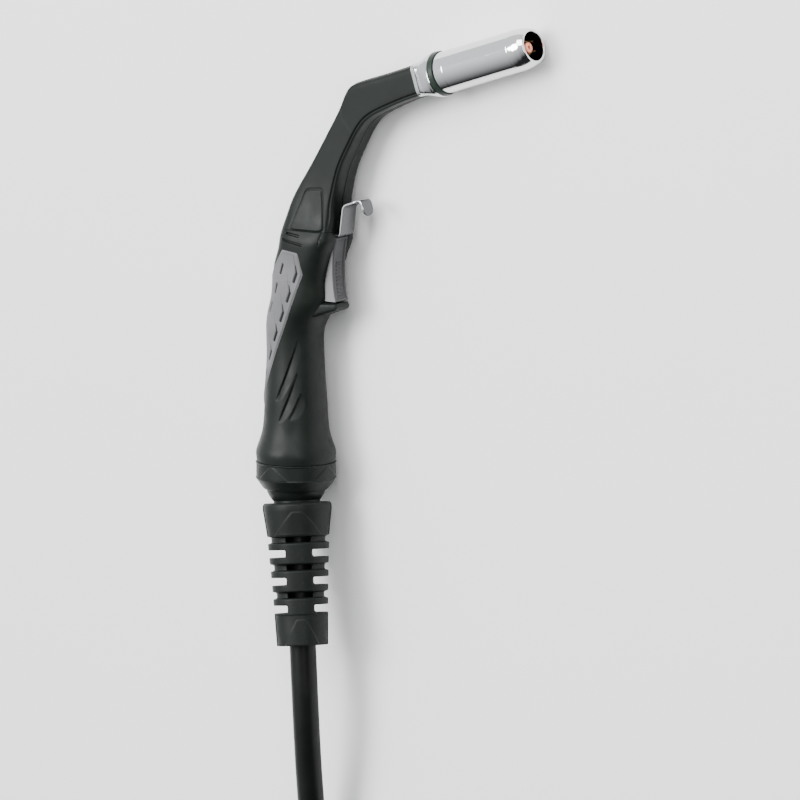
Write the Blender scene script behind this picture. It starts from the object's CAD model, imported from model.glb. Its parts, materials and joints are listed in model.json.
import json
import math

import bmesh
import bpy
import numpy as np
from mathutils import Matrix, Vector


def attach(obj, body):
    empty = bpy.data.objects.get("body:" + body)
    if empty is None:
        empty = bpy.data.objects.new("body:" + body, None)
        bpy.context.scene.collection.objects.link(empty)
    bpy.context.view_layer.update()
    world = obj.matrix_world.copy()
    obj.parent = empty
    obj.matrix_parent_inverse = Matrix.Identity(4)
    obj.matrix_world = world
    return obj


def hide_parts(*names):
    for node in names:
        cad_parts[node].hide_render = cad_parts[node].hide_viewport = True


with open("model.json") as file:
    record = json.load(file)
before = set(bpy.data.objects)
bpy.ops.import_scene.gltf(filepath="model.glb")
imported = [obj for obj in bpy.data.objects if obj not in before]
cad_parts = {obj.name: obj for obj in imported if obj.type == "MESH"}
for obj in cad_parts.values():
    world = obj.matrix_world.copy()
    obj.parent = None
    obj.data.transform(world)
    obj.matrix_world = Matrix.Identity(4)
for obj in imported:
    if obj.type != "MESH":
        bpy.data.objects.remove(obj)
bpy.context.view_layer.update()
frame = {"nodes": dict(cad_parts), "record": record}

# A gas-cooled MIG welding torch, lying on its side with its cable coiled behind it.
# Local frames work in millimetres and place() turns them into metres of the row's frame.
MM = 0.001
JOINTS = {joint["name"]: joint for joint in frame["record"]["behaviour"]["joints"]}
MOUNTS = {mount["name"]: mount for mount in frame["record"]["mounts"]}


# ------------------------------------------------------------------ local frames
def local_frame(origin, x_axis, y_axis):
    """An origin in metres and three axes, each a millimetre long."""
    x_axis, y_axis = np.array(x_axis, float), np.array(y_axis, float)
    return np.array(origin, float), np.array([x_axis, y_axis, np.cross(x_axis, y_axis)]) * MM


def place(where, points):
    """Points of a local frame, in the row's frame and in metres."""
    origin, axes = where
    return origin + np.asarray(points, float) @ axes


def rolled(where, degrees):
    """The same frame, turned about its own Y axis."""
    origin, axes = where
    turn = math.radians(degrees)
    x_axis = axes[0] * math.cos(turn) - axes[2] * math.sin(turn)
    z_axis = axes[0] * math.sin(turn) + axes[2] * math.cos(turn)
    return origin, np.array([x_axis, axes[1], z_axis])


BALL = np.array(JOINTS["handle_tilt"]["pos_m"])
SIDEWAYS = np.array([1.0, 0.0, 0.0])
torch_up = -np.array(JOINTS["trigger_pull"]["axis"])
TORCH = local_frame(BALL, SIDEWAYS, np.cross(torch_up, SIDEWAYS))
BOOT_TURN = -14.9
BOOT = rolled(local_frame(BALL, JOINTS["handle_tilt"]["axis"], JOINTS["knuckle_swivel"]["axis"]), BOOT_TURN)
NECK_END = (92.95, 242.75, 0.0)
along_nozzle = np.array(JOINTS["nozzle_pull"]["axis"])
NOZZLE = local_frame(place(TORCH, NECK_END), np.cross(along_nozzle, torch_up), along_nozzle)
PIN_MOUNT_FROM_PLUG_START = 119.0
pin_axis = np.array(MOUNTS["centre_pin"]["axis"])
plug_start = np.array(MOUNTS["centre_pin"]["pos_m"]) - pin_axis * PIN_MOUNT_FROM_PLUG_START * MM
PLUG = local_frame(plug_start, [0, -1, 0], pin_axis)


# ------------------------------------------------------------------ curves and profiles
def smooth_through(knots, values, at):
    """A natural cubic curve through the values."""
    knots, values = np.asarray(knots, float), np.asarray(values, float)
    count = len(knots)
    step = np.diff(knots)
    system = np.eye(count)
    right = np.zeros(count)
    for i in range(1, count - 1):
        system[i, i - 1:i + 2] = step[i - 1], 2 * (step[i - 1] + step[i]), step[i]
        right[i] = 6 * ((values[i + 1] - values[i]) / step[i] - (values[i] - values[i - 1]) / step[i - 1])
    bend = np.linalg.solve(system, right)
    i = np.clip(np.searchsorted(knots, at) - 1, 0, count - 2)
    a, b = (knots[i + 1] - at) / step[i], (at - knots[i]) / step[i]
    curve = a * values[i] + b * values[i + 1]
    return curve + ((a ** 3 - a) * bend[i] + (b ** 3 - b) * bend[i + 1]) * step[i] ** 2 / 6


def fade(low, high, value):
    """0 below low, 1 above high and a smooth ramp between them."""
    share = np.clip((value - low) / (high - low), 0.0, 1.0)
    return share * share * (3 - 2 * share)


def rounded_outline(corners, radius, spacing, closed=True):
    """An outline through corners that are rounded off, with points about a spacing apart."""
    corners = [np.array(corner, float) for corner in corners]
    count = len(corners)
    path = []
    for i, corner in enumerate(corners):
        if not closed and i in (0, count - 1):
            path.append(corner)
            continue
        back, ahead = corners[i - 1] - corner, corners[(i + 1) % count] - corner
        reach = min(radius, 0.48 * np.linalg.norm(back), 0.48 * np.linalg.norm(ahead))
        first = corner + back / np.linalg.norm(back) * reach
        last = corner + ahead / np.linalg.norm(ahead) * reach
        for t in np.linspace(0, 1, 7):
            path.append((1 - t) ** 2 * first + 2 * t * (1 - t) * corner + t * t * last)
    if closed:
        path.append(path[0])
    dense = [path[0]]
    for start, end in zip(path, path[1:]):
        pieces = max(1, int(math.ceil(np.linalg.norm(end - start) / spacing)))
        dense += [start + (end - start) * (k + 1) / pieces for k in range(pieces)]
    if closed:
        dense.pop()
    return np.array(dense)


def segment_distance(x, y, start, end):
    """Distance to a segment, and the share of the segment at the nearest point."""
    start, end = np.array(start, float), np.array(end, float)
    along = end - start
    share = ((x - start[0]) * along[0] + (y - start[1]) * along[1]) / (along @ along)
    held = np.clip(share, 0, 1)
    return np.hypot(x - start[0] - held * along[0], y - start[1] - held * along[1]), held


def groove(distance, width, depth):
    return depth * (1 - fade(width * 0.25, width * 0.75, distance))


def inside_distance(x, y, corners, rounding):
    """How far a point lies inside a convex clockwise outline whose corners are rounded."""
    total = 0.0
    for start, end in zip(corners, corners[1:] + corners[:1]):
        run = math.hypot(end[0] - start[0], end[1] - start[1])
        inward = ((x - start[0]) * (end[1] - start[1]) - (y - start[1]) * (end[0] - start[0])) / run
        total = total + np.exp(-np.clip(inward, -40, 40) / rounding)
    return -rounding * np.log(total)


# ------------------------------------------------------------------ meshes
def grid_faces(rows, columns, around=True, closed=False):
    """Quads between neighbouring rows; around joins a row's ends, closed joins the last row to the first."""
    r = np.arange(rows if closed else rows - 1)[:, None]
    c = np.arange(columns if around else columns - 1)[None, :]
    near, far = r * columns, (r + 1) % rows * columns
    quads = np.stack([near + c, near + (c + 1) % columns, far + (c + 1) % columns, far + c], axis=-1)
    return quads.reshape(-1, 4).tolist()


def make_piece(name, points, faces, material, body, stands_for=()):
    """A smooth mesh piece in the row's frame, riding on a body."""
    mesh = bpy.data.meshes.new(name)
    mesh.from_pydata(np.asarray(points).reshape(-1, 3).tolist(), [], faces)
    bm = bmesh.new()
    bm.from_mesh(mesh)
    bmesh.ops.recalc_face_normals(bm, faces=bm.faces)
    bm.to_mesh(mesh)
    bm.free()
    mesh.shade_smooth()
    mesh.materials.append(material)
    piece = bpy.data.objects.new(name, mesh)
    bpy.context.scene.collection.objects.link(piece)
    if body:
        finish_piece(piece, body, stands_for)
    return piece


def finish_piece(piece, body, stands_for=()):
    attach(piece, body)
    if stands_for:
        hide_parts(*stands_for)


def applied(piece):
    """Puts the piece's modifiers into its mesh."""
    evaluated = piece.evaluated_get(bpy.context.evaluated_depsgraph_get())
    mesh = bpy.data.meshes.new_from_object(evaluated)
    piece.modifiers.clear()
    piece.data = mesh
    return piece


def carved(piece, tools):
    """Cuts tool meshes out of a piece and removes them."""
    for tool in tools:
        modifier = piece.modifiers.new("cut", "BOOLEAN")
        modifier.operation = "DIFFERENCE"
        modifier.solver = "EXACT"
        modifier.object = tool
    applied(piece)
    for tool in tools:
        bpy.data.objects.remove(tool, do_unlink=True)
    return piece


def capped(points):
    """Rows of a closed tube with both ends drawn together in a point."""
    first = points[0].mean(axis=0)
    last = points[-1].mean(axis=0)
    return np.concatenate([np.broadcast_to(first, points[:1].shape), points,
                           np.broadcast_to(last, points[-1:].shape)])


def block(name, where, low, high):
    """A cutting block in a local frame."""
    corners = [(x, y, z) for x in (low[0], high[0]) for y in (low[1], high[1]) for z in (low[2], high[2])]
    faces = [(0, 1, 3, 2), (4, 6, 7, 5), (0, 4, 5, 1), (2, 3, 7, 6), (0, 2, 6, 4), (1, 5, 7, 3)]
    return make_piece(name, place(where, corners), faces, None, None)


def lathe_points(profile, steps, relief=None):
    """Rows round the Y axis from a closed profile of radius and height; relief adds to the radius."""
    angle = 2 * np.pi * np.arange(steps) / steps
    radius = np.repeat(profile[:, :1], steps, axis=1)
    height = np.repeat(profile[:, 1:2], steps, axis=1)
    if relief:
        radius = radius + relief(angle[None, :], height, radius)
    return np.stack([radius * np.cos(angle), height, radius * np.sin(angle)], axis=-1)


def lathe(name, profile, where, material, body, stands_for=(), steps=192, relief=None):
    """A turned piece with its own material and, where it has one, a relief."""
    points = lathe_points(profile, steps, relief)
    faces = grid_faces(len(profile), steps, closed=True)
    return make_piece(name, place(where, points), faces, material, body, stands_for)


def sweep_points(path, sides, profile):
    """Rows of a profile carried along a path: sides gives each point's own two directions."""
    rows = []
    for point, (side, rise) in zip(path, sides):
        rows.append(point + profile[:, :1] * side + profile[:, 1:2] * rise)
    return np.array(rows)


# ------------------------------------------------------------------ materials
def material_base(name, colour, roughness, metallic=0.0):
    """A new node material with its shader's uniform values set."""
    material = bpy.data.materials.new(name)
    material.use_nodes = True
    shader = material.node_tree.nodes["Principled BSDF"]
    shader.inputs["Base Color"].default_value = (*colour, 1.0)
    shader.inputs["Roughness"].default_value = roughness
    shader.inputs["Metallic"].default_value = metallic
    return material, shader


def noise(material, scale, detail=4.0, stretch=(1.0, 1.0, 1.0)):
    """A noise in the object's own coordinates; scale is per metre."""
    tree = material.node_tree
    coordinate = tree.nodes.new("ShaderNodeTexCoord")
    mapping = tree.nodes.new("ShaderNodeMapping")
    mapping.inputs["Scale"].default_value = stretch
    texture = tree.nodes.new("ShaderNodeTexNoise")
    texture.inputs["Scale"].default_value = scale
    texture.inputs["Detail"].default_value = detail
    tree.links.new(coordinate.outputs["Object"], mapping.inputs["Vector"])
    tree.links.new(mapping.outputs["Vector"], texture.inputs["Vector"])
    return texture.outputs["Fac"]


def ranged(material, value, low, high, new_low, new_high):
    node = material.node_tree.nodes.new("ShaderNodeMapRange")
    material.node_tree.links.new(value, node.inputs["Value"])
    for socket, number in zip(("From Min", "From Max", "To Min", "To Max"), (low, high, new_low, new_high)):
        node.inputs[socket].default_value = number
    return node.outputs["Result"]


def mixed(material, share, first, second):
    """A colour mix; first and second are colours or sockets."""
    node = material.node_tree.nodes.new("ShaderNodeMix")
    node.data_type = "RGBA"
    material.node_tree.links.new(share, node.inputs[0])
    for socket, colour in ((node.inputs[6], first), (node.inputs[7], second)):
        if isinstance(colour, tuple):
            socket.default_value = (*colour, 1.0)
        else:
            material.node_tree.links.new(colour, socket)
    return node.outputs[2]


def add_bump(material, shader, heights):
    """Stacks bumps: each is a height socket and its depth in metres."""
    tree = material.node_tree
    previous = None
    for height, depth in heights:
        bump = tree.nodes.new("ShaderNodeBump")
        bump.inputs["Strength"].default_value = 1.0
        bump.inputs["Distance"].default_value = depth
        tree.links.new(height, bump.inputs["Height"])
        if previous:
            tree.links.new(previous, bump.inputs["Normal"])
        previous = bump.outputs["Normal"]
    tree.links.new(previous, shader.inputs["Normal"])


def edges(material, low, high):
    """1 on sharp outer edges, 0 on flat faces."""
    geometry = material.node_tree.nodes.new("ShaderNodeNewGeometry")
    return ranged(material, geometry.outputs["Pointiness"], low, high, 0.0, 1.0)


def shade(colour, factor):
    return tuple(min(1.0, channel * factor) for channel in colour)


def moulded(name, colour, roughness, grain=2600.0, grain_depth=0.00004, wear=0.5):
    """Moulded plastic or rubber: fine grain, cloudy colour and gloss, paler worn edges."""
    material, shader = material_base(name, colour, roughness)
    shader.inputs["Specular IOR Level"].default_value = 0.16
    tree = material.node_tree
    cloud = noise(material, 38.0, 5.0)
    body_colour = mixed(material, ranged(material, cloud, 0.35, 0.65, 0.0, 1.0),
                        shade(colour, 0.86), shade(colour, 1.14))
    scuffs = noise(material, 420.0, 8.0, (1.0, 0.25, 1.0))
    scuff_share = ranged(material, scuffs, 0.62, 0.8, 0.0, 0.35 * wear)
    body_colour = mixed(material, scuff_share, body_colour, shade(colour, 1.9))
    edge_share = tree.nodes.new("ShaderNodeMath")
    edge_share.operation = "MULTIPLY"
    tree.links.new(edges(material, 0.51, 0.6), edge_share.inputs[0])
    edge_share.inputs[1].default_value = wear
    body_colour = mixed(material, edge_share.outputs[0], body_colour, shade(colour, 2.2))
    tree.links.new(body_colour, shader.inputs["Base Color"])
    gloss = noise(material, 160.0, 6.0)
    tree.links.new(ranged(material, gloss, 0.3, 0.7, roughness - 0.06, roughness + 0.07),
                   shader.inputs["Roughness"])
    add_bump(material, shader, [(noise(material, grain, 3.0), grain_depth),
                                (noise(material, grain / 9, 4.0), grain_depth * 0.8)])
    return material


def metal(name, colour, roughness, stretch=(1.0, 1.0, 1.0), lines=900.0, line_depth=0.000004, stain=0.12):
    """Machined or polished metal: fine tool lines, faint stains and gloss that varies."""
    material, shader = material_base(name, colour, roughness, 1.0)
    tree = material.node_tree
    stains = ranged(material, noise(material, 60.0, 7.0), 0.45, 0.75, 0.0, stain)
    tree.links.new(mixed(material, stains, colour, shade(colour, 0.55)), shader.inputs["Base Color"])
    gloss = noise(material, 210.0, 6.0)
    tree.links.new(ranged(material, gloss, 0.3, 0.7, roughness * 0.75, roughness * 1.35),
                   shader.inputs["Roughness"])
    add_bump(material, shader, [(noise(material, lines, 2.0, stretch), line_depth),
                                (noise(material, 45.0, 3.0), line_depth * 2)])
    return material


DARK = (0.0064, 0.0088, 0.0073)
body_plastic = moulded("body_plastic", DARK, 0.43)
ring_plastic = moulded("ring_plastic", shade(DARK, 0.92), 0.4)
knuckle_plastic = moulded("knuckle_plastic", shade(DARK, 0.8), 0.42)
boot_rubber = moulded("boot_rubber", shade(DARK, 0.85), 0.5, 1900.0, 0.00005)
grip_rubber = moulded("grip_rubber", (0.13, 0.13, 0.135), 0.55, 2200.0, 0.00004, 0.15)
trigger_plastic = moulded("trigger_plastic", (0.17, 0.168, 0.174), 0.4, 3000.0, 0.00002, 0.15)
cable_rubber = moulded("cable_rubber", (0.0042, 0.0048, 0.0045), 0.4, 1500.0, 0.00003, 0.2)
insulator_plastic = moulded("insulator_plastic", (0.02, 0.03, 0.024), 0.35, 2600.0, 0.00002)
plug_plastic = moulded("plug_plastic", (0.016, 0.016, 0.017), 0.42, 1700.0, 0.00006)
core_rubber = moulded("core_rubber", (0.4, 0.06, 0.03), 0.5, 1500.0, 0.00003, 0.1)
polished = metal("polished_chrome", (0.72, 0.72, 0.73), 0.07, (1.0, 1.0, 1.0), 700.0, 0.0000012, 0.05)
collar_chrome = metal("collar_chrome", (0.66, 0.66, 0.67), 0.12, (1.0, 1.0, 1.0), 900.0, 0.000003, 0.1)
bright_steel = metal("bright_steel", (0.66, 0.66, 0.67), 0.16, (1.0, 6.0, 1.0), 700.0, 0.000003)
copper = metal("copper", (0.82, 0.33, 0.2), 0.24, (1.0, 1.0, 1.0), 1200.0, 0.000004, 0.35)
brass = metal("brass", (0.78, 0.56, 0.25), 0.22, (1.0, 1.0, 1.0), 1200.0, 0.000004, 0.2)
liner_steel = metal("liner_steel", (0.4, 0.4, 0.42), 0.35, (1.0, 9.0, 1.0), 900.0, 0.00001)

# ------------------------------------------------------------------ body of the torch
# Sections of the handle: height, back, front, half thickness, roundness; 2 is an ellipse.
HANDLE_SECTIONS = [
    (11.7, -22.7, 22.7, 22.7, 2.0), (17.0, -23.2, 23.2, 23.2, 2.0), (23.0, -21.5, 21.5, 21.5, 2.0),
    (29.0, -19.7, 19.7, 19.7, 2.0), (36.0, -18.8, 18.8, 18.8, 2.0), (47.0, -18.2, 18.2, 18.2, 2.0),
    (60.0, -17.3, 17.3, 17.3, 2.0), (76.0, -16.5, 16.5, 16.5, 2.0), (92.0, -16.5, 17.6, 17.0, 2.05),
    (100.0, -15.0, 22.5, 17.2, 2.2), (106.0, -12.7, 26.0, 17.3, 2.4), (117.0, -10.3, 26.4, 17.5, 2.7),
    (128.0, -8.6, 28.3, 17.7, 3.0), (138.0, -4.8, 31.6, 17.8, 3.4)]
# Sections of the neck: angle, back point, depth, half thickness, roundness.
NECK_SECTIONS = [
    (3.0, -3.0, 145.6, 36.6, 17.4, 3.8), (8.0, -0.5, 154.3, 34.2, 14.8, 4.4),
    (14.0, 2.4, 163.6, 32.6, 12.6, 5.2), (20.0, 7.0, 172.6, 28.9, 11.3, 6.2),
    (26.0, 14.2, 183.6, 24.0, 10.3, 7.4), (32.0, 23.0, 197.3, 19.7, 9.8, 8.6),
    (40.0, 31.5, 211.4, 18.9, 9.5, 9.0), (50.0, 39.5, 225.7, 20.2, 9.4, 9.0),
    (57.9, 45.7, 235.9, 23.1, 9.4, 9.0), (60.2, 50.4, 238.2, 22.3, 9.4, 9.0),
    (70.0, 64.0, 242.7, 20.2, 9.35, 8.0), (71.8, 79.0, 247.7, 18.9, 9.3, 7.0),
    (71.8, 90.03, 251.63, 18.7, 9.3, 6.0)]
SEAM_HEIGHT = 149.3
SEAM_GAP = 0.3
SKIN_COLUMNS = 288


def skin_stations():
    """Every section as centre X and Y, angle in radians, half depth, half thickness, roundness."""
    rows = [((back + front) / 2, height, 0.0, (front - back) / 2, half, roundness)
            for height, back, front, half, roundness in HANDLE_SECTIONS]
    for angle, x, y, depth, half, roundness in NECK_SECTIONS:
        turn = math.radians(angle)
        rows.append((x + math.cos(turn) * depth / 2, y - math.sin(turn) * depth / 2, turn, depth / 2, half,
                     roundness))
    return np.array(rows)


STATIONS = skin_stations()
STATION_RUN = np.concatenate([[0.0], np.cumsum(np.hypot(*np.diff(STATIONS[:, :2], axis=0).T))])


def skin(run, angle):
    """The smooth skin at distances along the body and angles round it, from the trigger side to the left."""
    columns = [smooth_through(STATION_RUN, column, run) for column in STATIONS.T]
    centre_x, centre_y, turn, half_depth, half_thickness, roundness = columns
    c, s = np.cos(angle), np.sin(angle)
    reach = (np.abs(c / half_depth) ** roundness
             + np.abs(s / half_thickness) ** roundness) ** (-1 / roundness)
    across, up = reach * c, reach * s
    points = np.stack([centre_x + across * np.cos(turn), centre_y - across * np.sin(turn), up], axis=-1)
    return points, across, half_depth


def grid_normals(points, around=True):
    along = np.gradient(points, axis=0)
    if around:
        round_it = (np.roll(points, -1, axis=1) - np.roll(points, 1, axis=1)) / 2
    else:
        round_it = np.gradient(points, axis=1)
    normal = np.cross(along, round_it)
    normal /= np.maximum(np.linalg.norm(normal, axis=-1, keepdims=True), 1e-9)
    return normal


# Side features, in the torch frame's X and Y, the same on both sides.
BADGE = [(7.6, SEAM_HEIGHT + 0.7), (16.4, 172.8), (26.8, 173.8), (29.9, SEAM_HEIGHT + 0.7)]
VENTS = [((6.0, 147.3), (14.6, 146.3)), ((3.7, 143.3), (17.1, 141.2))]
PANEL_LINE = ((29.4, SEAM_HEIGHT), (28.4, 142.0))
# Scalloped cuts of the handle: angle round it in degrees and height, from the upper to the lower end.
SCALLOPS = [((49.0, 84.3), (92.0, 48.7)), ((50.4, 65.0), (84.5, 36.5)), ((44.0, 53.3), (64.6, 38.1))]
SCALLOP_RADIUS, SCALLOP_WIDTH, SCALLOP_DEPTH = 17.8, 5.5, 1.5
VENT_WIDTH, VENT_DEPTH = 1.2, 1.3
PANEL_LINE_WIDTH, PANEL_LINE_DEPTH = 0.7, 0.45
BADGE_RISE, BADGE_MOAT = 0.5, 0.4
FRONT_GROOVE_INSET, FRONT_GROOVE_WIDTH, FRONT_GROOVE_DEPTH = 1.9, 1.0, 0.75
FRONT_RIDGE, BACK_JOINT_LINE = 0.3, 0.2
BACK_CHAMFER, BACK_CHAMFER_SLOPE = 3.2, 0.16
GRIP_OUTLINE = [(-60.0, 40.9), (3.6, 137.6), (14.6, 136.3), (17.9, 125.0), (-16.6, 42.7)]
GRIP_ROUNDING = 0.8


def skin_relief(points, across, half_depth):
    """How deep the skin lies below its smooth shape, in millimetres."""
    x, y, z = points[..., 0], points[..., 1], np.abs(points[..., 2])
    on_side = fade(5.0, 7.0, z)
    inside = inside_distance(x, y, BADGE, 0.9)
    moat = BADGE_MOAT * np.exp(-((inside + 0.45) / 0.35) ** 2)
    depth = (moat - BADGE_RISE * fade(-0.25, 0.35, inside)) * on_side
    for start, end in VENTS:
        distance, _ = segment_distance(x, y, start, end)
        depth = depth + groove(distance, VENT_WIDTH, VENT_DEPTH) * on_side
    distance, _ = segment_distance(x, y, *PANEL_LINE)
    depth = depth + groove(distance, PANEL_LINE_WIDTH, PANEL_LINE_DEPTH) * on_side
    turn = np.degrees(np.arctan2(z, x))
    arc = np.radians(turn) * SCALLOP_RADIUS
    for (start_turn, start_y), (end_turn, end_y) in SCALLOPS:
        start = np.array([math.radians(start_turn) * SCALLOP_RADIUS, start_y])
        end = np.array([math.radians(end_turn) * SCALLOP_RADIUS, end_y])
        along = (end - start) / np.linalg.norm(end - start)
        length = np.linalg.norm(end - start)
        run = (arc - start[0]) * along[0] + (y - start[1]) * along[1]
        offset = (arc - start[0]) * along[1] - (y - start[1]) * along[0]
        taper = np.sqrt(np.clip(1 - (2 * run / length - 1) ** 2, 0, 1))
        width = SCALLOP_WIDTH * taper + 0.01
        scoop = fade(-0.25, 0.25, offset) * np.clip(1 - offset / width, 0, 1)
        depth = depth + SCALLOP_DEPTH * taper * scoop * (y < 95)
    neck = fade(158.0, 170.0, y + 0.35 * x)
    edge = half_depth - across
    front_groove = groove(np.abs(edge - FRONT_GROOVE_INSET), FRONT_GROOVE_WIDTH, FRONT_GROOVE_DEPTH)
    depth = depth + front_groove * neck * (z > 6.5) * (across > 0)
    depth = depth - FRONT_RIDGE * (1 - fade(0.2, 0.75, z)) * (across > 0) * fade(153.0, 156.0, y)
    depth = depth + BACK_JOINT_LINE * (1 - fade(0.1, 0.3, z)) * (across < 0)
    back_edge = half_depth + across
    chamfer = np.clip(BACK_CHAMFER - back_edge, 0, BACK_CHAMFER) * BACK_CHAMFER_SLOPE
    depth = depth + chamfer * fade(150.0, 165.0, y + 0.35 * x) * (z > 5.0)
    return depth


def body_rows(first_run, last_run, fine):
    """Rows of the relieved skin between two distances along the body; the fine stretch has closer rows."""
    coarse = np.arange(first_run, last_run, 0.55)
    run = np.unique(np.concatenate([coarse, np.arange(*fine, 0.14), [last_run]]))
    run = run[(run >= first_run) & (run <= last_run)]
    run = run[np.concatenate([[True], np.diff(run) > 0.05])]
    angle = 2 * np.pi * np.arange(SKIN_COLUMNS) / SKIN_COLUMNS
    points, across, half_depth = skin(run[:, None], angle[None, :])
    normal = grid_normals(points)
    return points + (normal * normal_sign(points, normal)
                     * skin_relief(points, across, half_depth)[..., None])


def normal_sign(points, normal):
    """-1 where the normal points outwards, so that a depth goes inwards."""
    outward = points - points.mean(axis=1, keepdims=True)
    return -np.sign((outward * normal).sum(axis=-1, keepdims=True))


seam_run = float(np.interp(SEAM_HEIGHT, STATIONS[:, 1][:20], STATION_RUN[:20]))


def flat_end(points, way):
    """Ends a stretch square to the handle at the seam: way is 1 where it lies below the seam, -1 above."""
    limit = SEAM_HEIGHT - way * SEAM_GAP / 2
    beyond = (points[..., 1] - limit) * way > 0
    kept = points[~beyond.all(axis=1)]
    for column in range(kept.shape[1]):
        line = kept[:, column]
        crossing = np.interp(limit, line[:, 1], np.arange(len(line)))
        at = [np.interp(crossing, np.arange(len(line)), line[:, axis]) for axis in range(3)]
        line[(line[:, 1] - limit) * way > 0] = at
    end = kept[-1 if way > 0 else 0]
    lip = end.mean(axis=0) + (end - end.mean(axis=0)) * 0.985
    lip[:, 1] = limit
    return np.concatenate([kept, lip[None]] if way > 0 else [lip[None], kept])


def build_handle():
    points = flat_end(body_rows(0.0, seam_run + 12, (seam_run - 14, seam_run + 8)), 1)
    seat = points[0].copy()
    seat_in = seat * [20.7 / 22.4, 1, 20.7 / 22.4]
    seat_deep = seat_in + [0, 5.5, 0]
    points = np.concatenate([seat_deep[None], seat_in[None], points])
    points = capped(points)
    faces = grid_faces(len(points), SKIN_COLUMNS)
    piece = make_piece("handle_body", place(TORCH, points), faces, body_plastic, None)
    slot = block("slot", TORCH, (14.5, 107.3, -6.15), (60.0, 146.6, 6.15))
    carved(piece, [slot])
    piece.data.shade_smooth()
    sharpen(piece, 40)
    finish_piece(piece, "handle", ("handle_shell_left", "handle_shell_right"))
    return piece


def sharpen(piece, degrees):
    """Marks edges sharper than an angle, so that smooth shading breaks there."""
    bm = bmesh.new()
    bm.from_mesh(piece.data)
    limit = math.radians(degrees)
    for edge in bm.edges:
        edge.smooth = len(edge.link_faces) != 2 or edge.calc_face_angle(0.0) < limit
    bm.to_mesh(piece.data)
    bm.free()


def build_neck():
    points = flat_end(body_rows(seam_run - 12, STATION_RUN[-1], (seam_run - 8, seam_run + 10)), -1)
    points = capped(points)
    faces = grid_faces(len(points), SKIN_COLUMNS)
    return make_piece("neck_body", place(TORCH, points), faces, body_plastic, "handle",
                      ("neck_shell_left", "neck_shell_right"))


# ------------------------------------------------------------------ grip inserts
CHEVRON_APEX = (14.2, 124.5)
CHEVRON_STEP = (-5.0, -11.85)
DASH_START = (4.3, 128.9)


def grip_relief(x, y):
    """How deep the grooves of a grip insert are, in millimetres."""
    depth = np.zeros_like(x)
    for number in range(7):
        apex = (CHEVRON_APEX[0] + number * CHEVRON_STEP[0], CHEVRON_APEX[1] + number * CHEVRON_STEP[1])
        distance, share = segment_distance(x, y, apex, (apex[0] - 2.1, apex[1] - 5.2))
        depth = depth + groove(distance, 1.5, 0.9)
        if number < 5:
            distance, share = segment_distance(x, y, apex, (apex[0] - 1.5, apex[1] + 10.2))
            depth = np.maximum(depth, groove(distance, 1.2 - 0.5 * share, 0.7 * (1 - 0.6 * share)))
    for number in range(6):
        start = (DASH_START[0] + number * CHEVRON_STEP[0], DASH_START[1] + number * CHEVRON_STEP[1])
        distance, _ = segment_distance(x, y, start, (start[0] - 1.9, start[1] - 5.4))
        depth = np.maximum(depth, groove(distance, 1.3, 0.8))
    return depth


def build_grip(side, name):
    """A soft insert on one side: its patch follows the skin and stands a little proud of it."""
    low, high = GRIP_OUTLINE[4][1], GRIP_OUTLINE[1][1]
    heights = np.arange(low, high + 0.01, 0.32)
    run = np.interp(heights, STATIONS[:, 1][:16], STATION_RUN[:16])
    centre, half, roundness = (smooth_through(STATION_RUN, STATIONS[:, k], run) for k in (0, 3, 5))
    thick = smooth_through(STATION_RUN, STATIONS[:, 4], run)
    front_x = np.where(heights > 124.0, np.interp(heights, [124.0, 136.3, 137.6], [18.2, 15.0, 4.2]),
                       np.interp(heights, [42.7, 124.0], [-16.2, 18.2]))
    back_x = np.interp(heights, [108.0, 119.5, 137.6], [-60.0, -8.6, 3.2])

    def edge_angle(x):
        u = np.clip((x - centre) / half, -1, 1)
        w = (1 - np.abs(u) ** roundness) ** (1 / roundness)
        return np.arctan2(w * thick, u * half)

    first, last = edge_angle(front_x), edge_angle(back_x)
    columns = 110
    share = np.linspace(0, 1, columns)[None, :]
    angle = first[:, None] * (1 - share) + last[:, None] * share
    points, _, _ = skin(run[:, None], angle)
    normal = grid_normals(points, False)
    normal = normal * -normal_sign(points, normal)
    inside = inside_distance(points[..., 0], points[..., 1], GRIP_OUTLINE, GRIP_ROUNDING)
    proud = 0.5 * fade(-0.3, 0.5, inside) + 0.14 * np.exp(-((inside - 0.9) / 0.45) ** 2)
    proud = proud - grip_relief(points[..., 0], points[..., 1]) * fade(0.3, 1.2, inside)
    top = points + normal * proud[..., None]
    sunk = points - normal * 0.9
    rows = np.concatenate([sunk[:1], top, sunk[-1:]])
    left_edge = np.concatenate([sunk[:1, :1], sunk[:, :1], sunk[-1:, :1]])
    right_edge = np.concatenate([sunk[:1, -1:], sunk[:, -1:], sunk[-1:, -1:]])
    rows = np.concatenate([left_edge, rows, right_edge], axis=1)
    rows[..., 2] *= side
    faces = grid_faces(rows.shape[0], rows.shape[1], around=False)
    return make_piece(name, place(TORCH, rows), faces, grip_rubber, "handle",
                      ("grip_insert_" + ("left" if side > 0 else "right"),))


build_handle()
build_neck()
for side, label in ((1, "left"), (-1, "right")):
    build_grip(side, "grip_" + label)


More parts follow.
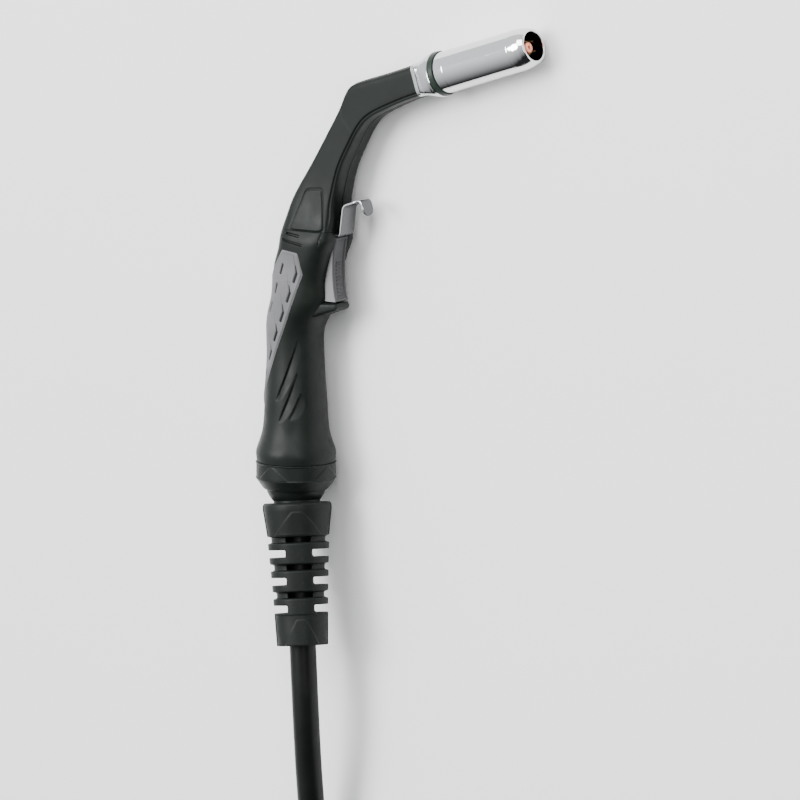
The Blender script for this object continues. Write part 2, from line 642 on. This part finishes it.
# ------------------------------------------------------------------ trigger and its guard
def build_trigger():
    """The lever: hollow finger side with a framed, ribbed panel."""
    front, hollow = 34.3, 2.4
    low, high = 108.05, 145.75
    middle_height, back_low, back_middle, back_high = 138.0, 19.2, 20.0, 24.0
    y = np.linspace(high, low, 110)
    share = (y - low) / (high - low)
    x = front - hollow * (1 - (2 * share - 1) ** 2) ** 0.9
    half = 5.8
    z = np.linspace(-half, half, 60)
    grid_y, grid_z = np.meshgrid(y, z, indexing="ij")
    grid_x = np.repeat(x[:, None], len(z), axis=1)
    rim = np.minimum.reduce([half - np.abs(grid_z), high - grid_y, grid_y - low])
    grid_x = grid_x - 0.9 * (1 - np.sqrt(np.clip(rim / 0.9, 0, 1) * (2 - np.clip(rim / 0.9, 0, 1))))
    panel = fade(1.5, 1.9, rim)
    rib_zone = fade(3.9, 3.3, np.abs(grid_z) * 1.6) * fade(111.0, 111.6, grid_y) * fade(131.5, 130.5, grid_y)
    ribs = 0.5 + 0.5 * np.cos(2 * np.pi * (grid_y - 111.3) / 2.15)
    grid_x = grid_x - 0.8 * panel + 0.55 * rib_zone * fade(0.55, 0.8, ribs)
    face = np.stack([grid_x, grid_y, grid_z], axis=-1)
    back = face.copy()
    back_x = np.interp(grid_y, [low, middle_height, high], [back_low, back_middle, back_high])
    back[..., 0] = back_x
    rows = [face[:, :1], face, face[:, -1:]]
    shell = np.concatenate(rows, axis=1)
    shell[:, 0] = back[:, 0]
    shell[:, -1] = back[:, -1]
    top, bottom = shell[:1].copy(), shell[-1:].copy()
    top[..., 0] = np.minimum(top[..., 0], back_high)
    bottom[..., 0] = back_low
    shell = np.concatenate([top, shell, bottom])
    faces = grid_faces(shell.shape[0], shell.shape[1], around=False)
    piece = make_piece("trigger_lever", place(TORCH, shell), faces, trigger_plastic, "trigger_lever",
                       ("trigger",))
    piece.data.materials.append(trigger_pad)
    rows_count, columns_count = shell.shape[:2]
    for polygon in piece.data.polygons:
        row, column = divmod(polygon.index, columns_count - 1)
        if 1 <= row <= rows_count - 3 and 1 <= column <= columns_count - 3:
            polygon.material_index = 1
    sharpen(piece, 50)
    return piece


def build_guard():
    """The ledge under the trigger: it runs out of the handle and narrows to a rounded lip."""
    start, lip, end = 8.0, 33.4, 34.6
    rounding = end - 1.2 * np.cos(np.linspace(0.3, 1.57, 10))
    rows = []
    for x in np.unique(np.concatenate([np.linspace(start, lip, 80), rounding[rounding > lip]])):
        share = (x - start) / (end - start)
        tip = 1.0 - 0.72 * max(0.0, (x - lip) / (end - lip)) ** 2
        half = (12.5 - 6.1 * share) * (0.9 + 0.1 * tip)
        top = 107.25
        low = 92.0 + 11.2 * share ** 0.8
        angle = 2 * np.pi * np.arange(72) / 72
        c, s = np.cos(angle), np.sin(angle)
        height = (top + low) / 2 + np.sign(s) * np.abs(s) ** 0.4 * (top - low) / 2 * tip
        rows.append(np.column_stack([np.full(72, x), height, np.sign(c) * np.abs(c) ** 0.5 * half]))
    points = capped(np.array(rows))
    return make_piece("trigger_guard", place(TORCH, points), grid_faces(len(points), 72), body_plastic,
                      "handle")


# ------------------------------------------------------------------ hanging hook
def path_frames(path, rise):
    """For each point of a flat path: the direction square to it in its plane, and the rise."""
    along = np.gradient(path, axis=0)
    along /= np.linalg.norm(along, axis=1, keepdims=True)
    side = np.cross(along, rise)
    return [(direction, np.array(rise, float)) for direction in side]


def build_hook():
    """A polished strip: fixed in front of the neck, bent out and down, with a rounded tab."""
    corners = [(32.6, 147.3), (36.9, 147.0), (39.3, 164.9), (50.8, 168.8), (53.6, 159.8)]
    flat = rounded_outline(corners, 2.6, 0.3, closed=False)
    path = np.column_stack([flat, np.zeros(len(flat))])
    run = np.concatenate([[0], np.cumsum(np.linalg.norm(np.diff(path, axis=0), axis=1))])
    frames = path_frames(path, (0, 0, 1))
    rows = []
    for point, distance, (side, rise) in zip(path, run, frames):
        to_tip = run[-1] - distance
        half = 6.4 - 1.6 * fade(12.5, 9.0, to_tip)
        if to_tip < 4.8:
            half = min(half, math.sqrt(max(0.02, 4.8 ** 2 - (4.8 - to_tip) ** 2)))
        profile = hook_profile(half)
        rows.append(point + profile[:, :1] * side + profile[:, 1:2] * rise)
    points = capped(np.array(rows))
    piece = make_piece("hook_strip", place(TORCH, points), grid_faces(len(points), points.shape[1]),
                       hook_steel, "handle", ("hanging_hook",))
    piece.data.materials.append(polished)
    torch_axis = Vector(torch_up)
    for polygon in piece.data.polygons:
        if abs(polygon.normal.dot(torch_axis)) > 0.6:
            polygon.material_index = 1
    sharpen(piece, 55)
    return piece


def hook_profile(half):
    """The strip's cross-section: thickness 1.2, with eased edges."""
    ease = min(0.3, half * 0.4)
    corner = [(0.6 - ease + ease * math.cos(a), half - ease + ease * math.sin(a))
              for a in np.linspace(0, math.pi / 2, 5)]
    upper = corner + [(-x, y) for x, y in reversed(corner)]
    return np.array(upper + [(-x, -y) for x, y in upper])


# ------------------------------------------------------------------ rear ring, boot
def repeat_angle(angle, count, phase=0.0):
    """The angle from the nearest of evenly spaced directions."""
    step = 2 * np.pi / count
    return (angle - phase + step / 2) % step - step / 2


def ring_relief(angle, height, radius):
    """Four raised triangular panels round the ring."""
    arc = repeat_angle(angle, 4) * 23.5
    outline = [(-11.0, 2.4), (-1.2, 10.2), (1.2, 10.2), (11.0, 2.4)]
    inside = inside_distance(arc, height, outline, 0.3)
    outer = radius > 22.0
    return (-0.4 * outer * (1 - fade(-0.2, 0.3, inside)) * fade(2.0, 2.8, height)
            * (1 - fade(10.4, 11.0, height)))


def build_ring():
    corners = [(17.74, -4.5), (18.9, -4.5), (23.5, 2.0), (23.5, 11.45), (20.6, 11.45), (20.6, -0.5),
               (18.3, -0.5), (18.1, -2.4)]
    profile = rounded_outline(corners, 0.6, 0.22)
    return lathe("rear_ring", profile, TORCH, ring_plastic, "handle",
                 ("rear_locking_ring",), 360, ring_relief)


BOOT_OUTER = [(-12.9, 19.0), (-14.3, 20.0), (-17.0, 20.0), (-30.5, 18.2), (-62.9, 16.2), (-96.0, 14.9)]
WINDOW_HEIGHTS = (-34.4, -50.5, -66.6)
SLOT_HEIGHTS = (-42.45, -58.55, -74.65)
WEB_HALF_WIDTH, SLOT_HALF_HEIGHT = 7.75, 2.2
WINDOW_HALF_WIDTH, WINDOW_HALF_HEIGHT, WINDOW_DEPTH = 7.2, 1.55, 5.0
BOOT_VOXEL = 0.42
BOOT_PANELS = [[(-15.6, -32.0), (-3.2, -18.3), (3.2, -18.3), (15.6, -32.0)],
               [(-11.6, -96.6), (-2.8, -81.0), (2.8, -81.0), (11.6, -96.6)]]


def build_boot():
    """The bend relief: rings joined by webs, with windows in front and behind and slots at the sides."""
    outline = [(radius, height) for height, radius in BOOT_OUTER[:4]]
    for height in WINDOW_HEIGHTS:
        for offset, depth in ((2.1, 0.0), (1.6, 2.3), (-1.6, 2.3), (-2.1, 0.0)):
            y = height + offset
            radius = float(np.interp(-y, [-h for h, r in BOOT_OUTER], [r for h, r in BOOT_OUTER]))
            outline.append((radius - depth, y))
    outline += [(14.9, -96.0), (8.4, -96.0), (8.4, -31.0), (13.6, -31.0), (13.6, -12.9)]
    profile = rounded_outline(outline, 0.3, 0.8)
    points = lathe_points(profile, 160)
    piece = make_piece("boot_sleeve", place(BOOT, points), grid_faces(len(profile), 160, closed=True),
                       boot_rubber, None)
    tools = []
    for number, height in enumerate(SLOT_HEIGHTS):
        for way in (-1, 1):
            low, high = sorted((way * WEB_HALF_WIDTH, way * 30.0))
            tools.append(block(f"slot_{number}_{way + 1}", BOOT, (low, height - SLOT_HALF_HEIGHT, -30),
                               (high, height + SLOT_HALF_HEIGHT, 30)))
    for number, height in enumerate(WINDOW_HEIGHTS):
        for way in (-1, 1):
            low, high = sorted((way * WINDOW_DEPTH, way * 30.0))
            tools.append(block(f"window_{number}_{way + 1}", BOOT,
                               (-WINDOW_HALF_WIDTH, height - WINDOW_HALF_HEIGHT, low),
                               (WINDOW_HALF_WIDTH, height + WINDOW_HALF_HEIGHT, high)))
    carved(piece, tools)
    remesh = piece.modifiers.new("remesh", "REMESH")
    remesh.mode = "VOXEL"
    remesh.voxel_size = BOOT_VOXEL * MM
    smooth = piece.modifiers.new("smooth", "SMOOTH")
    smooth.factor = 0.5
    smooth.iterations = 4
    applied(piece)
    relieve_boot(piece)
    piece.data.shade_smooth()
    finish_piece(piece, "cable_side", ("cable_boot",))
    return piece


def relieve_boot(piece):
    """Lowers the skin of the boot round its trapezoid panels, in front and behind."""
    mesh = piece.data
    points = np.empty(len(mesh.vertices) * 3)
    mesh.vertices.foreach_get("co", points)
    points = points.reshape(-1, 3)
    origin, axes = BOOT
    local = (points - origin) @ np.linalg.inv(axes)
    radius = np.hypot(local[:, 0], local[:, 2])
    outer = np.interp(-local[:, 1], [-h for h, r in BOOT_OUTER], [r for h, r in BOOT_OUTER])
    on_skin = (radius > outer - 1.0) * (np.abs(local[:, 2]) > 2)
    raised = np.zeros(len(local))
    for panel in BOOT_PANELS:
        arc = np.arcsin(np.clip(local[:, 0] / radius, -1, 1)) * outer
        raised += 0.42 * fade(-0.25, 0.3, inside_distance(arc, local[:, 1], panel, 0.3))
    raised -= 0.42
    panel_zone = (local[:, 1] > -32.2) | (local[:, 1] < -78.0)
    share = (raised * on_skin * panel_zone) / radius
    local[:, 0] *= 1 + share
    local[:, 2] *= 1 + share
    mesh.vertices.foreach_set("co", place(BOOT, local).ravel())
    mesh.update()
    mesh.materials.clear()
    mesh.materials.append(boot_rubber)


# ------------------------------------------------------------------ front end
def build_collar():
    """The polished collar: square at the neck, then a groove, and a flare to a round rim."""
    stations = [(0.0, 9.5, 6.0), (0.5, 9.75, 6.0), (2.6, 9.75, 6.0), (3.0, 9.2, 5.5), (4.2, 9.2, 5.0),
                (4.6, 9.9, 4.6), (6.5, 10.7, 3.6), (9.0, 11.9, 2.8), (11.5, 12.9, 2.3), (12.4, 13.35, 2.0),
                (13.7, 13.45, 2.0), (14.0, 13.2, 2.0)]
    along = np.unique(np.concatenate([np.linspace(0, 14, 90), [s[0] for s in stations]]))
    half = np.interp(along, [s[0] for s in stations], [s[1] for s in stations])
    roundness = np.interp(along, [s[0] for s in stations], [s[2] for s in stations])
    angle = 2 * np.pi * np.arange(256) / 256
    c, s = np.abs(np.cos(angle))[None, :], np.abs(np.sin(angle))[None, :]
    reach = half[:, None] * (c ** roundness[:, None] + s ** roundness[:, None]) ** (-1 / roundness[:, None])
    points = np.stack([reach * np.cos(angle), np.repeat(along[:, None], 256, axis=1), reach * np.sin(angle)],
                      axis=-1)
    bore = [np.stack([6.05 * np.cos(angle), np.full(256, y), 6.05 * np.sin(angle)], axis=-1)
            for y in (14.0, 0.0)]
    points = np.concatenate([points, np.array(bore)])
    piece = make_piece("collar", place(NOZZLE, points), grid_faces(len(points), 256, closed=True),
                       collar_chrome, "handle", ("neck_collar",))
    sharpen(piece, 40)
    return piece


def nozzle_relief(angle, height, radius):
    """Fine turned lines near the start and before the taper."""
    lines = sum(groove(np.abs(height - place_of_line), 0.35, 0.12) for place_of_line in (24.5, 73.6))
    return -lines * (radius > 11.5)


# Turned pieces on the nozzle's axis: name, rounding, spacing, material, body, slot, CAD node, steps,
# relief and corners.
FRONT_END = [
    ("nozzle_sleeve", 0.9, 0.3, polished, "nozzle", "chrome", "gas_nozzle", 256, nozzle_relief,
     [(8.5, 84.5), (10.0, 84.5), (11.3, 81.2), (12.0, 77.6), (12.25, 74.5), (12.25, 17.6), (10.8, 17.6),
      (10.75, 68.5), (10.0, 75.5)]),
    ("insulator", 0.35, 0.4, insulator_plastic, "handle", "insulator", "insulator_ring", 192, None,
     [(6.1, 14.02), (13.1, 14.02), (13.2, 15.0), (12.9, 17.3), (10.7, 17.5), (10.6, 28.0), (9.5, 28.0),
      (9.5, 30.0), (10.6, 30.0), (10.6, 36.0), (6.1, 36.0)]),
    ("tip", 0.5, 0.25, copper, "handle", "copper", "contact_tip", 96, None,
     [(0.6, 58.0), (4.0, 58.0), (4.0, 79.2), (3.0, 81.0), (0.9, 81.0), (0.6, 80.4)])]


def build_front_end():
    for name, rounding, spacing, material, body, slot, node, steps, relief, corners in FRONT_END:
        profile = rounded_outline(corners, rounding, spacing)
        lathe(name, profile, NOZZLE, material, body, (node,), steps, relief)


trigger_pad = moulded("trigger_pad", (0.06, 0.06, 0.063), 0.36, 3000.0, 0.00002, 0.1)
hook_steel = metal("hook_steel", (0.1, 0.103, 0.105), 0.22, (1.0, 1.0, 1.0), 800.0, 0.000004)
build_trigger()
build_guard()
build_hook()
build_ring()
build_boot()
build_collar()
build_front_end()

# ------------------------------------------------------------------ materials of the CAD's own nodes
NODE_MATERIALS = {
    body_plastic: ["ball_socket", "cable_boot"], knuckle_plastic: ["ball_knuckle"],
    bright_steel: ["shell_screws", "knuckle_retaining_ring", "trigger_pin", "trigger_spring",
                   "nozzle_spring_ring", "plug_screws"],
    copper: ["neck_conductor"], core_rubber: ["inner_cable_stub", "switch_leads"],
    brass: ["power_block", "gas_diffuser", "plug_centre_pin", "liner_nut", "contact_pins"],
    liner_steel: ["wire_liner"], insulator_plastic: ["microswitch", "switch_plunger"],
    plug_plastic: ["plug_face"], cable_rubber: ["plug_o_ring"]}
for material, names in NODE_MATERIALS.items():
    for name in names:
        node = frame["nodes"][name]
        if not node.material_slots:
            node.data.materials.append(material)
        for material_slot in node.material_slots:
            material_slot.material = material


# ------------------------------------------------------------------ central connector
def build_plug():
    """The bend spring, the ribbed housing in two halves and the fluted locking nut."""
    spring_path, frames = [], []
    turns, start, end = 13, -3.0, 30.0
    for t in np.linspace(0, 1, turns * 40 + 1):
        angle = 2 * math.pi * turns * t
        radius = 8.9 + 0.9 * min(1.0, t * 6)
        spring_path.append((radius * math.cos(angle), start + (end - start) * t, radius * math.sin(angle)))
        frames.append((np.array([math.cos(angle), 0, math.sin(angle)]), np.array([0, 1.0, 0])))
    ring = 2 * np.pi * np.arange(12) / 12
    wire = np.column_stack([np.cos(ring), np.sin(ring)]) * 1.1
    points = capped(sweep_points(np.array(spring_path), frames, wire))
    spring = make_piece("bend_spring", place(PLUG, points), grid_faces(len(points), 12), bright_steel,
                        "cable_side", ("plug_bend_spring",))
    pieces = [spring]
    housing = rounded_outline([(11.2, 29.0), (13.4, 29.0), (14.5, 37.0), (20.5, 59.0), (22.0, 69.0),
                               (22.0, 83.4), (20.0, 83.6), (20.0, 91.8), (15.6, 91.8), (15.6, 65.0),
                               (11.2, 40.0)], 1.2, 0.5)

    def housing_relief(angle, height, radius):
        ribs = fade(0.35, 0.8, np.cos(repeat_angle(angle, 20) * 20)) * fade(40.0, 44.0, height)
        seam = groove(np.abs(np.sin(angle)) * 20.0, 0.5, 0.4)
        return (radius > 16.0) * (-0.7 * ribs * (1 - fade(66.0, 70.0, height)) - seam)

    pieces.append(lathe("plug_housing", housing, PLUG, plug_plastic, "cable_side",
                        ("plug_housing_upper", "plug_housing_lower"), 360, housing_relief))
    nut = rounded_outline([(20.5, 84.0), (22.7, 84.0), (23.5, 85.2), (23.5, 109.6), (22.7, 111.0),
                           (20.5, 111.0), (20.5, 95.6), (17.6, 95.6), (17.6, 92.6), (20.5, 92.6)], 0.7, 0.5)

    def nut_relief(angle, height, radius):
        flute = np.clip(1 - (repeat_angle(angle, 12, math.pi / 12) * 23.5 / 2.3) ** 2, 0, 1) ** 0.5
        return (radius > 22.0) * -1.3 * flute * fade(86.5, 88.5, height)

    pieces.append(lathe("locking_nut", nut, PLUG, plug_plastic, "locking_nut",
                        ("plug_locking_nut",), 360, nut_relief))
    return pieces


plug_pieces = build_plug()

# ------------------------------------------------------------------ cable
CABLE_DIAMETER = 0.0155
COIL_CENTRE = (BALL[0] + 0.101, BALL[1] - 0.330)
OUTER_LANE, INNER_LANE = 0.101, 0.0855
LOWER_LAYER, UPPER_LAYER = 0.00775, 0.02325
COIL_TURNS = [(OUTER_LANE, LOWER_LAYER), (INNER_LANE, LOWER_LAYER), (INNER_LANE, UPPER_LAYER),
              (OUTER_LANE, UPPER_LAYER)]
POINTS_PER_TURN = 24


def boot_axis_point(distance):
    """A point on the boot's axis, a distance in metres below the ball's centre."""
    return tuple(BALL - np.array(JOINTS["knuckle_swivel"]["axis"]) * distance)


def coil_points():
    """Four lanes of a turn each: outer and inner below, then inner and outer above."""
    points = []
    last = int(POINTS_PER_TURN * (len(COIL_TURNS) - 0.1))
    for number in range(1, last):
        turn = number / POINTS_PER_TURN
        lane = min(int(turn), len(COIL_TURNS) - 1)
        crossing = max(0.0, (turn - lane - 0.82) / 0.18)
        ahead = COIL_TURNS[min(lane + 1, len(COIL_TURNS) - 1)]
        radius = COIL_TURNS[lane][0] * (1 - crossing) + ahead[0] * crossing
        height = COIL_TURNS[lane][1] * (1 - crossing) + ahead[1] * crossing
        angle = math.pi + 2 * math.pi * turn
        points.append((COIL_CENTRE[0] + radius * math.cos(angle),
                       COIL_CENTRE[1] + radius * math.sin(angle), height))
    return points


def cable_route():
    lead = [boot_axis_point(0.020), boot_axis_point(0.112),
            (BALL[0] + 0.0064, BALL[1] - 0.1888, 0.0270), (BALL[0], BALL[1] - 0.2428, 0.0120),
            (BALL[0], BALL[1] - 0.290, 0.0078)]
    bend_centre = (COIL_CENTRE[0] - 0.009192, COIL_CENTRE[1] + 0.009192)
    reach, first, step = 0.08972, math.radians(146.25), math.radians(22.5)
    heights = [0.0395, 0.0425, 0.0455, 0.0488, 0.0518, 0.0541]
    tail = [(bend_centre[0] + reach * math.cos(first + step * k),
             bend_centre[1] + reach * math.sin(first + step * k), height)
            for k, height in enumerate(heights)]
    return lead + coil_points() + tail + [tuple(plug_start)]


def build_cable():
    curve = bpy.data.curves.new("cable", "CURVE")
    curve.dimensions = "3D"
    curve.bevel_depth = CABLE_DIAMETER / 2
    curve.bevel_resolution = 10
    curve.resolution_u = 10
    curve.use_fill_caps = True
    route = cable_route()
    spline = curve.splines.new("NURBS")
    spline.points.add(len(route) - 1)
    for point, position in zip(spline.points, route):
        point.co = (*position, 1.0)
    spline.order_u = 3
    spline.use_endpoint_u = True
    curve.materials.append(cable_rubber)
    cable = bpy.data.objects.new("cable", curve)
    bpy.context.scene.collection.objects.link(cable)
    finish_piece(cable, "cable_side", ("cable_lead", "cable_coil", "cable_tail"))
    return cable


build_cable()


# ------------------------------------------------------------------ floor, light and camera
def build_floor():
    material, shader = material_base("floor", (0.86, 0.86, 0.86), 0.9)
    tint = ranged(material, noise(material, 3.0), 0.3, 0.7, 0.0, 1.0)
    material.node_tree.links.new(mixed(material, tint, (0.93, 0.93, 0.93), (0.95, 0.95, 0.95)),
                                 shader.inputs["Base Color"])
    mesh = bpy.data.meshes.new("floor")
    reach = 8.0
    mesh.from_pydata([(-reach, -reach, 0), (reach, -reach, 0), (reach, reach, 0), (-reach, reach, 0)], [],
                     [(0, 1, 2, 3)])
    mesh.materials.append(material)
    floor = bpy.data.objects.new("floor", mesh)
    bpy.context.scene.collection.objects.link(floor)


CAMERA_DISTANCE, VIEW_WIDTH = 12.0, 0.464
VIEW_RIGHT_OF_BALL, VIEW_ABOVE_BALL = 0.0603, 0.0464


def view_axes():
    """The camera's right and up directions and the one towards it, for the long lens that sees the torch."""
    def turned(direction):
        x_axis, y_axis, z_axis = TORCH[1] / MM
        vector = direction[0] * x_axis + direction[1] * y_axis + direction[2] * z_axis
        return Vector(vector).normalized()
    towards = turned((0.604, 0.156, 0.782))
    right = turned((0.7916, 0.0, -0.612))
    up = towards.cross(right).normalized()
    return up.cross(towards).normalized(), up, towards


def build_camera():
    right, up, towards = view_axes()
    look_at = Vector(BALL) + right * VIEW_RIGHT_OF_BALL + up * VIEW_ABOVE_BALL
    data = bpy.data.cameras.new("camera")
    data.sensor_width = 36.0
    data.lens = data.sensor_width * CAMERA_DISTANCE / VIEW_WIDTH
    data.dof.use_dof = False
    camera = bpy.data.objects.new("camera", data)
    camera.matrix_world = rotation_matrix(right, up, towards, look_at + towards * CAMERA_DISTANCE)
    bpy.context.scene.collection.objects.link(camera)
    bpy.context.scene.camera = camera


def rotation_matrix(right, up, back, position):
    matrix = Matrix.Identity(4)
    for row in range(3):
        matrix[row][0], matrix[row][1], matrix[row][2] = right[row], up[row], back[row]
        matrix[row][3] = position[row]
    return matrix


def area_light(name, target, offset, size, power, shape=(1.0, 1.0)):
    data = bpy.data.lights.new(name, "AREA")
    data.shape = "RECTANGLE"
    data.size, data.size_y = size * shape[0], size * shape[1]
    data.energy = power
    light = bpy.data.objects.new(name, data)
    position = Vector(target) + Vector(offset)
    back = Vector(offset).normalized()
    right = Vector((0, 0, 1)).cross(back).normalized() if abs(back.z) < 0.99 else Vector((1, 0, 0))
    light.matrix_world = rotation_matrix(right, back.cross(right), back, position)
    bpy.context.scene.collection.objects.link(light)
    return light


def build_world(away):
    """A pale studio that darkens towards the side the light doesn't come from."""
    world = bpy.data.worlds.new("studio")
    world.use_nodes = True
    tree = world.node_tree
    coordinate = tree.nodes.new("ShaderNodeTexCoord")
    facing = tree.nodes.new("ShaderNodeVectorMath")
    facing.operation = "DOT_PRODUCT"
    facing.inputs[1].default_value = away
    tree.links.new(coordinate.outputs["Generated"], facing.inputs[0])
    strength = tree.nodes.new("ShaderNodeMapRange")
    tree.links.new(facing.outputs["Value"], strength.inputs["Value"])
    for socket, number in zip(("From Min", "From Max", "To Min", "To Max"), (-0.7, 0.3, 1.3, 0.03)):
        strength.inputs[socket].default_value = number
    background = tree.nodes["Background"]
    background.inputs["Color"].default_value = (0.96, 0.98, 1.0, 1.0)
    tree.links.new(strength.outputs["Result"], background.inputs["Strength"])
    bpy.context.scene.world = world


def build_light():
    right, up, towards = view_axes()
    build_world((right * 0.8 - up * 0.6).normalized())
    middle = Vector(BALL) + Vector((0.03, 0.10, 0.0))
    area_light("key", middle, -right * 1.6 + up * 0.9 + Vector((0, 0, 2.4)), 1.6, 150.0)
    area_light("top", middle, up * 1.6 + Vector((0, 0, 2.0)), 1.2, 45.0)
    area_light("front", middle, towards * 2.2 + up * 0.35, 0.5, 26.0, (4.0, 0.8))


build_floor()
build_light()
build_camera()
